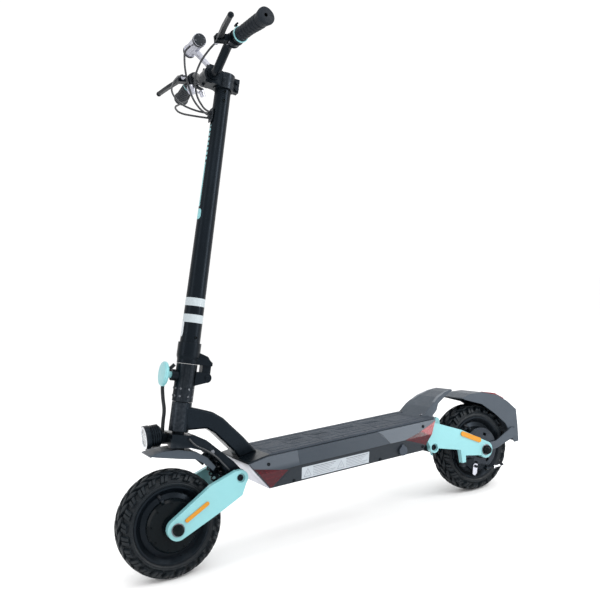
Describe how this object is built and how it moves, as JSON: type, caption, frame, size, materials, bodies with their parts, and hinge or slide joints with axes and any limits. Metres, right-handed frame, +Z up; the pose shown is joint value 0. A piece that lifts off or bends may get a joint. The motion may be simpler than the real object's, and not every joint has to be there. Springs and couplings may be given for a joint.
{
  "type": "electric kick scooter",
  "caption": "Folding electric kick scooter with off-road tyres, swing-arm suspension, deck mat, riser handlebar and control cables.",
  "frame": {"origin": "on the ground, midway along the overall length and on the centre line", "axes": "+X forward, +Y to the rider's left, +Z up"},
  "size_m": [1.2274, 0.6018, 1.3045],
  "materials": {
    "black_metal": "satin black powder coat",
    "graphite_metal": "dark grey satin coat",
    "teal_metal": "satin mint paint",
    "raw_metal": "satin silver",
    "steel": "dark zinc",
    "steel_disc": "ground",
    "tyre_rubber": "matt",
    "mat_rubber": "moulded",
    "grip_rubber": "soft",
    "black_plastic": "fine texture",
    "grey_plastic": "fine texture",
    "gloss_black": "polished",
    "cell_wrap": "shrink wrap",
    "red_lens": "translucent",
    "clear_lens": "clear",
    "amber_lens": "prismatic",
    "cable_jacket": "smooth"
  },
  "bodies": {
    "chassis": {"neck_frame": "graphite_metal", "deck_shell": "black_metal", "deck_mat": "mat_rubber", "side_cover_left": "grey_plastic", "side_cover_right": "grey_plastic", "nose_plate": "raw_metal", "side_lights": "red_lens", "base_cover": "black_metal", "battery_pack": "cell_wrap", "motor_controller": "black_metal", "kick_plate": "grey_plastic", "deck_screws": "steel", "pivot_hardware": "steel"},
    "charge_cap": {"charge_cap": "mat_rubber"},
    "kickstand": {"kickstand": "black_metal"},
    "fork": {"fork": "black_metal", "fork_pins": "steel", "hinge_block": "black_metal", "front_fender": "grey_plastic", "headlight": "black_metal", "headlight_lens": "clear_lens", "front_cable": "cable_jacket", "harness": "cable_jacket"},
    "fold_knob": {"fold_knob": "teal_metal"},
    "stem": {"stem_foot": "black_metal", "stem_tube": "black_metal", "stem_clamp": "black_metal", "handlebar": "black_metal", "grips": "grip_rubber", "lever_perches": "black_metal", "display_pod": "raw_metal", "throttle_body": "black_plastic", "control_cables": "cable_jacket"},
    "brake_lever_left": {"brake_lever_left": "black_metal"},
    "brake_lever_right": {"brake_lever_right": "black_metal"},
    "throttle_lever": {"throttle_lever": "black_plastic"},
    "power_button": {"power_button": "gloss_black"},
    "front_arm": {"front_swing_arm": "teal_metal", "front_axle_set": "steel", "front_reflectors": "amber_lens"},
    "front_wheel": {"front_tyre": "tyre_rubber", "front_rim": "black_metal", "front_hub_cover": "gloss_black"},
    "rear_arm": {"rear_swing_arm": "teal_metal", "rear_axle_set": "steel", "rear_reflectors": "amber_lens", "rear_fender": "grey_plastic", "tail_light": "red_lens", "brake_caliper": "black_metal"},
    "caliper_lever": {"caliper_lever": "raw_metal"},
    "rear_wheel": {"rear_tyre": "tyre_rubber", "rear_rim": "black_metal", "rear_hub_cover": "gloss_black", "brake_disc": "steel_disc"},
    "front_damper": {"front_shock_body": "black_metal", "front_spring": "steel"},
    "front_ram": {"front_shock_rod": "steel"},
    "rear_damper": {"rear_shock_body": "black_metal", "rear_spring": "steel"},
    "rear_ram": {"rear_shock_rod": "steel"}
  },
  "joints": [
    {"name": "steering", "type": "hinge", "parent": "chassis", "child": "fork", "pos_m": [0.52465, 0, 0], "axis": [-0.2443, 0, 0.9697], "range_deg": [-50, 50]},
    {"name": "stem_fold", "type": "hinge", "parent": "fork", "child": "stem", "pos_m": [0.36035, 0, 0.45773], "axis": [0, -1, 0], "range_deg": [0, 84]},
    {"name": "fold_release", "type": "slide", "parent": "fork", "child": "fold_knob", "axis": [0.9697, 0, 0.2443], "range_m": [0, 0.008], "stiffness_N_per_m": 1500, "springref_m": -0.004},
    {"name": "left_brake", "type": "hinge", "parent": "stem", "child": "brake_lever_left", "pos_m": [0.28904, 0.15, 1.25124], "axis": [0, 0, 1], "range_deg": [0, 18], "stiffness_Nm_per_rad": 1.2, "springref_deg": -11.46},
    {"name": "right_brake", "type": "hinge", "parent": "stem", "child": "brake_lever_right", "pos_m": [0.28904, -0.15, 1.25124], "axis": [0, 0, -1], "range_deg": [0, 18], "stiffness_Nm_per_rad": 1.2, "springref_deg": -11.46},
    {"name": "throttle", "type": "hinge", "parent": "stem", "child": "throttle_lever", "pos_m": [0.24748, -0.17, 1.2508], "axis": [-0.078, -0.9967, -0.0223], "range_deg": [0, 35], "stiffness_Nm_per_rad": 0.15, "springref_deg": -11.46},
    {"name": "power_press", "type": "slide", "parent": "stem", "child": "power_button", "axis": [0.6606, 0, -0.7507], "range_m": [0, 0.0012], "stiffness_N_per_m": 900, "springref_m": -0.0008},
    {"name": "front_suspension", "type": "hinge", "parent": "fork", "child": "front_arm", "pos_m": [0.31925, 0, 0.212], "axis": [0, -1, 0], "range_deg": [0, 8], "stiffness_Nm_per_rad": 420, "springref_deg": -5.73},
    {"name": "front_roll", "type": "hinge", "parent": "front_arm", "child": "front_wheel", "pos_m": [0.48625, 0, 0.1275], "axis": [0, 1, 0], "continuous": true},
    {"name": "rear_suspension", "type": "hinge", "parent": "chassis", "child": "rear_arm", "pos_m": [-0.26875, 0, 0.17], "axis": [0, 1, 0], "range_deg": [0, 7], "stiffness_Nm_per_rad": 520, "springref_deg": -6.88},
    {"name": "rear_roll", "type": "hinge", "parent": "rear_arm", "child": "rear_wheel", "pos_m": [-0.45575, 0, 0.1275], "axis": [0, 1, 0], "continuous": true},
    {"name": "rear_brake_pull", "type": "hinge", "parent": "rear_arm", "child": "caliper_lever", "pos_m": [-0.41975, 0.06, 0.0835], "axis": [0, 1, 0], "range_deg": [0, 12]},
    {"name": "front_damper_swing", "type": "hinge", "parent": "fork", "child": "front_damper", "pos_m": [0.37425, 0, 0.282], "axis": [0, -1, 0], "range_deg": [0, 2.2]},
    {"name": "front_damper_stroke", "type": "slide", "parent": "front_damper", "child": "front_ram", "axis": [0.2713, 0, 0.9625], "range_m": [0, 0.00506], "deforming": ["front_spring"]},
    {"name": "rear_damper_swing", "type": "hinge", "parent": "chassis", "child": "rear_damper", "pos_m": [-0.24175, 0, 0.226], "axis": [0, -1, 0], "range_deg": [-5.28, 0]},
    {"name": "rear_damper_stroke", "type": "slide", "parent": "rear_damper", "child": "rear_ram", "axis": [0.9989, 0, -0.0459], "range_m": [0, 0.00725], "deforming": ["rear_spring"]},
    {"name": "kickstand_swing", "type": "hinge", "parent": "chassis", "child": "kickstand", "pos_m": [-0.04025, -0.066, 0.161], "axis": [0, -1, 0], "range_deg": [0, 95]},
    {"name": "charge_cap_flap", "type": "hinge", "parent": "chassis", "child": "charge_cap", "pos_m": [-0.14475, 0.0983, 0.206], "axis": [1, 0, 0], "range_deg": [0, 100]}
  ],
  "couplings": [
    {"joint": "front_damper_swing", "follows": "front_suspension", "ratio": 0.27008},
    {"joint": "front_damper_stroke", "follows": "front_suspension", "m_per_rad": 0.035513},
    {"joint": "rear_damper_swing", "follows": "rear_suspension", "ratio": -0.73927},
    {"joint": "rear_damper_stroke", "follows": "rear_suspension", "m_per_rad": 0.058195},
    {"joint": "rear_brake_pull", "follows": "left_brake", "ratio": 0.5}
  ]
}
